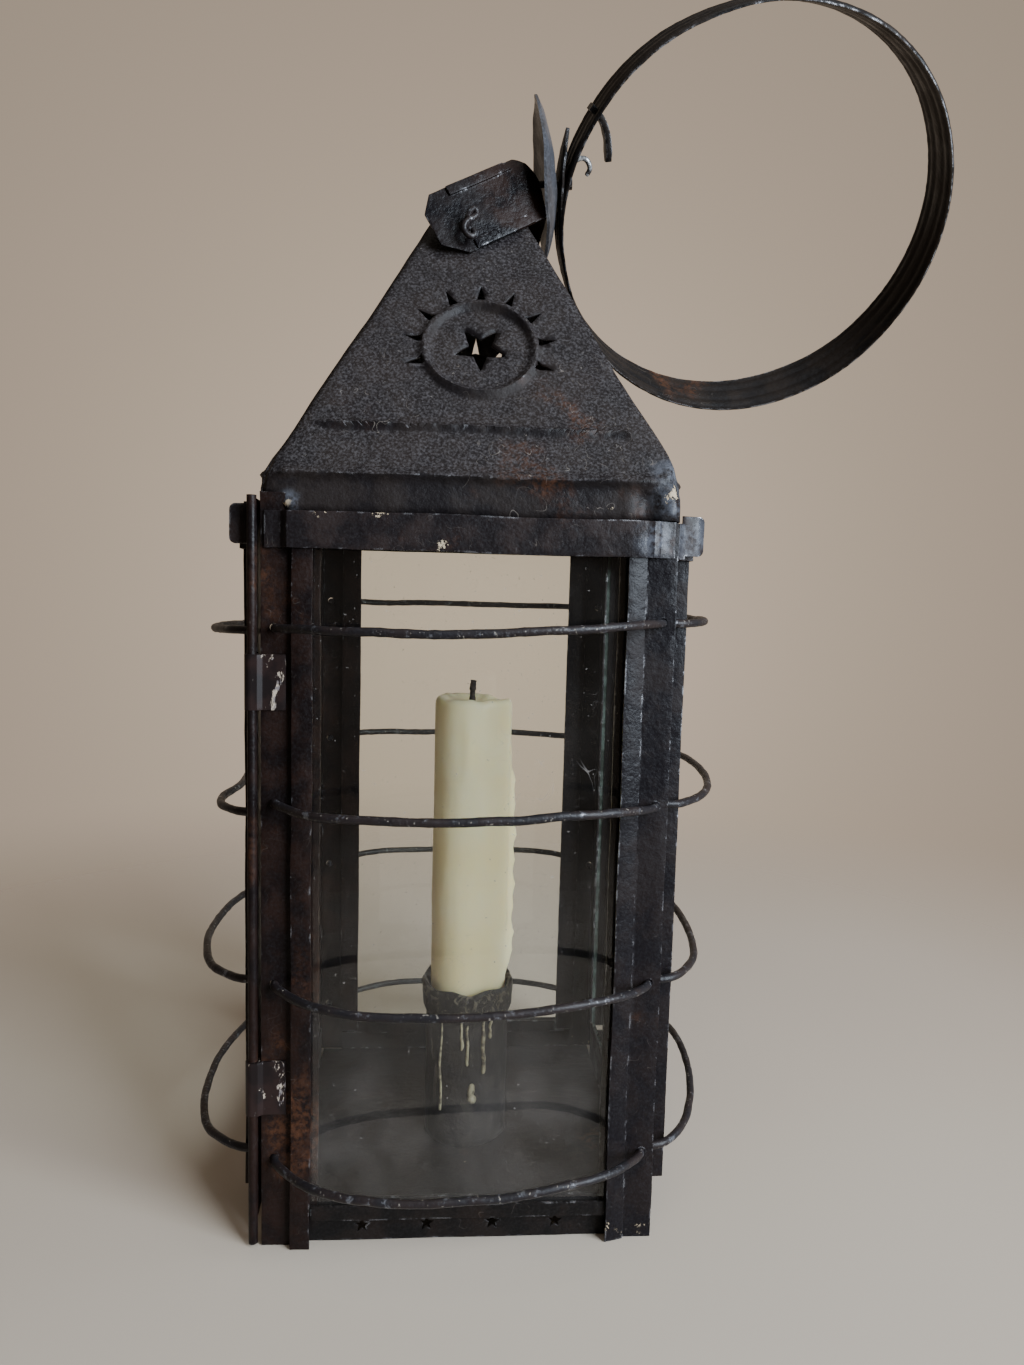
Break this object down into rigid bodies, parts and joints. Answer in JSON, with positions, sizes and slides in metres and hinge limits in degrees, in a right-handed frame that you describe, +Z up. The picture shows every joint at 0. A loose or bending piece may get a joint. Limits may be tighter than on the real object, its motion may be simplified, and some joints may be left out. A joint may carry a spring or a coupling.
{
  "type": "hanging candle lantern",
  "caption": "Square tin candle lantern with a pierced pyramid roof, glazed sides behind bowed guard wires, a hinged door, and a tipping cap with smoke disc and strap ring.",
  "frame": {"origin": "middle of the underside of the base", "axes": "+Z up, -Y out of the front face, -X out of the door"},
  "size_m": [0.2271, 0.1474, 0.3447],
  "materials": {
    "dark_tin": "worn dark paint, semi-matt",
    "guard_wire": "worn dark paint on wire",
    "bright_wire": "dull steel",
    "disc_tin": "worn grey, hammered",
    "waxy_tin": "dark tin under spilt wax",
    "window_glass": "old clear glass, slightly green",
    "wax": "ivory wax, soft sheen",
    "wick_cotton": "burnt cotton"
  },
  "bodies": {
    "lantern_body": {"base_pan": "dark_tin", "post_front_left": "dark_tin", "post_front_right": "dark_tin", "post_rear_right": "dark_tin", "post_rear_left": "dark_tin", "sill_front": "dark_tin", "sill_rear": "dark_tin", "sill_right": "dark_tin", "glass_front": "window_glass", "glass_rear": "window_glass", "glass_right": "window_glass", "band_front": "dark_tin", "band_rear": "dark_tin", "band_right": "dark_tin", "roof_front": "dark_tin", "roof_right": "dark_tin", "roof_rear": "dark_tin", "roof_left": "dark_tin", "cap_pivot_wire": "bright_wire", "candle_socket": "waxy_tin", "hasp_staple": "guard_wire", "hinge_strap_upper": "dark_tin", "hinge_strap_lower": "dark_tin", "guard_wire_1": "guard_wire", "guard_wire_2": "guard_wire", "guard_wire_3": "guard_wire", "guard_wire_4": "guard_wire"},
    "door": {"door_hinge_stile": "dark_tin", "door_latch_stile": "dark_tin", "door_top_rail": "dark_tin", "door_bottom_rail": "dark_tin", "door_glass": "window_glass", "door_wire_1": "guard_wire", "door_wire_2": "guard_wire", "door_wire_3": "guard_wire", "door_wire_4": "guard_wire", "hasp_pin": "bright_wire"},
    "hasp": {"hasp": "dark_tin"},
    "candle": {"candle": "wax", "wick": "wick_cotton"},
    "cap": {"cap_strap": "dark_tin", "swivel_pin": "bright_wire"},
    "disc": {"smoke_disc": "disc_tin"},
    "ring": {"ring_strap": "dark_tin", "ring_tie_wire": "bright_wire"}
  },
  "joints": [
    {"name": "door_hinge", "type": "hinge", "parent": "lantern_body", "child": "door", "pos_m": [-0.0547, -0.0522, 0.1], "axis": [0, 0, 1], "range_deg": [0, 110]},
    {"name": "hasp_hinge", "type": "hinge", "parent": "door", "child": "hasp", "pos_m": [-0.0553, 0.0466, 0.1], "axis": [0, 0, 1], "range_deg": [0, 95]},
    {"name": "candle_lift", "type": "slide", "parent": "lantern_body", "child": "candle", "axis": [0, 0, 1], "range_m": [0, 0.045]},
    {"name": "cap_swing", "type": "hinge", "parent": "lantern_body", "child": "cap", "pos_m": [-0.003, 0, 0.2753], "axis": [0, 1, 0], "range_deg": [-66, 0]},
    {"name": "disc_spin", "type": "hinge", "parent": "cap", "child": "disc", "pos_m": [0.0191, 0, 0.2972], "axis": [0.9944, 0, 0.1056], "continuous": true},
    {"name": "ring_swivel", "type": "hinge", "parent": "cap", "child": "ring", "pos_m": [0.0191, 0, 0.2972], "axis": [0.9944, 0, 0.1056], "continuous": true}
  ]
}
